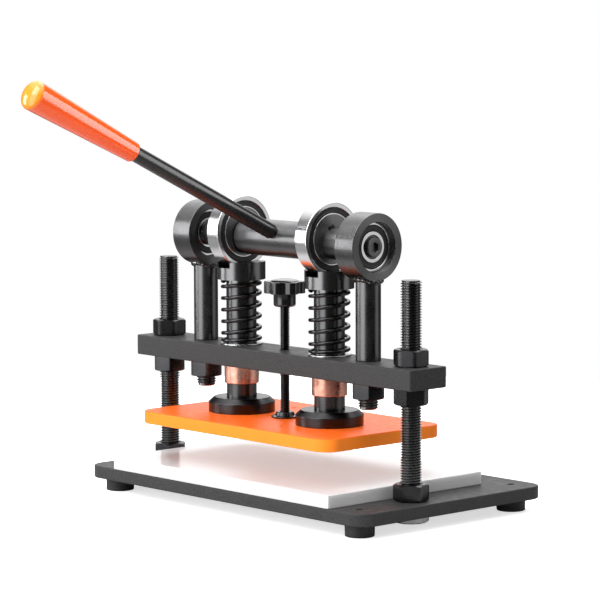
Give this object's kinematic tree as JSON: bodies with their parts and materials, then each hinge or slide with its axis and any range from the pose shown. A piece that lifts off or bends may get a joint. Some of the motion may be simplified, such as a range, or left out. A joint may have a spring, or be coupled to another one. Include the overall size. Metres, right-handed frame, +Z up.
{
  "type": "tabletop lever press",
  "caption": "Tabletop lever press: a handle turns a shaft with cam bearings that push a sprung plate down onto a cutting board, under a beam set by nuts on threaded columns.",
  "frame": {"origin": "centre of the four bench-screw holes, at the soles of the rubber feet", "axes": "+X along the cross beam to the operator's right, -Y towards the operator, +Z up"},
  "size_m": [0.322, 0.3738, 0.3351],
  "materials": {
    "dark_paint": "dark grey semi-matt powder coat",
    "orange_paint": "satin orange powder coat",
    "black_oxide": "black oxide, lightly oiled",
    "dark_steel": "dark turned steel",
    "bright_steel": "ground and polished",
    "spring_steel": "dark drawn wire",
    "zinc": "zinc plated",
    "bronze": "turned bronze, slightly tarnished",
    "foot_rubber": "matt",
    "seal_rubber": "satin",
    "white_plastic": "glossy, faint reflections",
    "grip_plastic": "glossy moulded",
    "knob_plastic": "glossy moulded"
  },
  "bodies": {
    "base": {"base_plate": "dark_paint", "rubber_feet": "foot_rubber", "cutting_board": "white_plastic", "column_left": "black_oxide", "column_right": "black_oxide", "base_nuts_upper": "black_oxide", "base_nuts_lower": "zinc"},
    "beam": {"cross_beam": "dark_paint", "eye_post_left": "black_oxide", "eye_post_right": "black_oxide", "ring_housing_left": "dark_steel", "ring_housing_right": "dark_steel", "post_nuts": "black_oxide", "bushing_left": "bronze", "bushing_right": "bronze", "spring_seat_left": "bright_steel", "spring_seat_right": "bright_steel", "shaft_bearing_left": "bright_steel", "shaft_bearing_right": "bright_steel", "shaft_seal_left": "seal_rubber", "shaft_seal_right": "seal_rubber", "spring_left": "spring_steel", "spring_right": "spring_steel"},
    "top_nut_left": {"top_nut_left": "black_oxide"},
    "top_nut_right": {"top_nut_right": "black_oxide"},
    "under_nut_left": {"under_nut_left": "black_oxide"},
    "under_nut_right": {"under_nut_right": "black_oxide"},
    "shaft": {"cam_shaft": "dark_steel", "cam_disc_left": "dark_steel", "cam_disc_right": "dark_steel", "cam_key_left": "black_oxide", "cam_key_right": "black_oxide", "cam_inner_ring_left": "bright_steel", "cam_inner_ring_right": "bright_steel", "shaft_inner_ring_left": "bright_steel", "shaft_inner_ring_right": "bright_steel", "end_screw_left": "dark_steel", "end_screw_right": "dark_steel", "handle_rod": "black_oxide", "handle_grip": "grip_plastic"},
    "cam_bearing_left": {"cam_bearing_left": "bright_steel", "cam_seal_left": "seal_rubber"},
    "cam_bearing_right": {"cam_bearing_right": "bright_steel", "cam_seal_right": "seal_rubber"},
    "ram": {"plunger_left": "black_oxide", "plunger_right": "black_oxide", "flange_left": "black_oxide", "flange_right": "black_oxide", "press_plate": "orange_paint"},
    "screw_pad": {"screw_pad": "black_oxide"},
    "pressure_screw": {"centre_screw": "black_oxide", "centre_knob": "knob_plastic"}
  },
  "joints": [
    {"name": "beam_height", "type": "slide", "parent": "base", "child": "beam", "axis": [0, 0, 1], "range_m": [-0.02, 0.045]},
    {"name": "top_nut_left_turn", "type": "hinge", "parent": "beam", "child": "top_nut_left", "pos_m": [-0.14, -0.0275, 0.127], "axis": [0, 0, 1], "range_deg": [-3600.5, 8100.5]},
    {"name": "top_nut_right_turn", "type": "hinge", "parent": "beam", "child": "top_nut_right", "pos_m": [0.14, -0.0275, 0.127], "axis": [0, 0, 1], "range_deg": [-3600.5, 8100.5]},
    {"name": "under_nut_left_turn", "type": "hinge", "parent": "beam", "child": "under_nut_left", "pos_m": [-0.14, -0.0275, 0.0985], "axis": [0, 0, 1], "range_deg": [-3600.5, 8100.5]},
    {"name": "under_nut_right_turn", "type": "hinge", "parent": "beam", "child": "under_nut_right", "pos_m": [0.14, -0.0275, 0.0985], "axis": [0, 0, 1], "range_deg": [-3600.5, 8100.5]},
    {"name": "handle", "type": "hinge", "parent": "beam", "child": "shaft", "pos_m": [0, -0.0275, 0.207], "axis": [1, 0, 0], "range_deg": [0, 70]},
    {"name": "cam_bearing_left_spin", "type": "hinge", "parent": "shaft", "child": "cam_bearing_left", "pos_m": [-0.051, -0.0295, 0.21046], "axis": [1, 0, 0], "continuous": true},
    {"name": "cam_bearing_right_spin", "type": "hinge", "parent": "shaft", "child": "cam_bearing_right", "pos_m": [0.051, -0.0295, 0.21046], "axis": [1, 0, 0], "continuous": true},
    {"name": "ram_slide", "type": "slide", "parent": "beam", "child": "ram", "axis": [0, 0, -1], "range_m": [0, 0.00418], "stiffness_N_per_m": 14000, "springref_m": -0.014, "deforming": ["spring_left", "spring_right"]},
    {"name": "screw_lift", "type": "slide", "parent": "beam", "child": "screw_pad", "axis": [0, 0, 1], "range_m": [0, 0.004]},
    {"name": "screw_turn", "type": "hinge", "parent": "screw_pad", "child": "pressure_screw", "pos_m": [0, -0.0275, 0.165], "axis": [0, 0, 1], "range_deg": [0, 1152.5]}
  ],
  "couplings": [
    {"joint": "top_nut_left_turn", "follows": "beam_height", "rad_per_m": 3141.6},
    {"joint": "top_nut_right_turn", "follows": "beam_height", "rad_per_m": 3141.6},
    {"joint": "under_nut_left_turn", "follows": "beam_height", "rad_per_m": 3141.6},
    {"joint": "under_nut_right_turn", "follows": "beam_height", "rad_per_m": 3141.6},
    {"joint": "ram_slide", "follows": "handle", "m_per_rad": 0.0034039},
    {"joint": "screw_turn", "follows": "screw_lift", "rad_per_m": 5026.5}
  ]
}
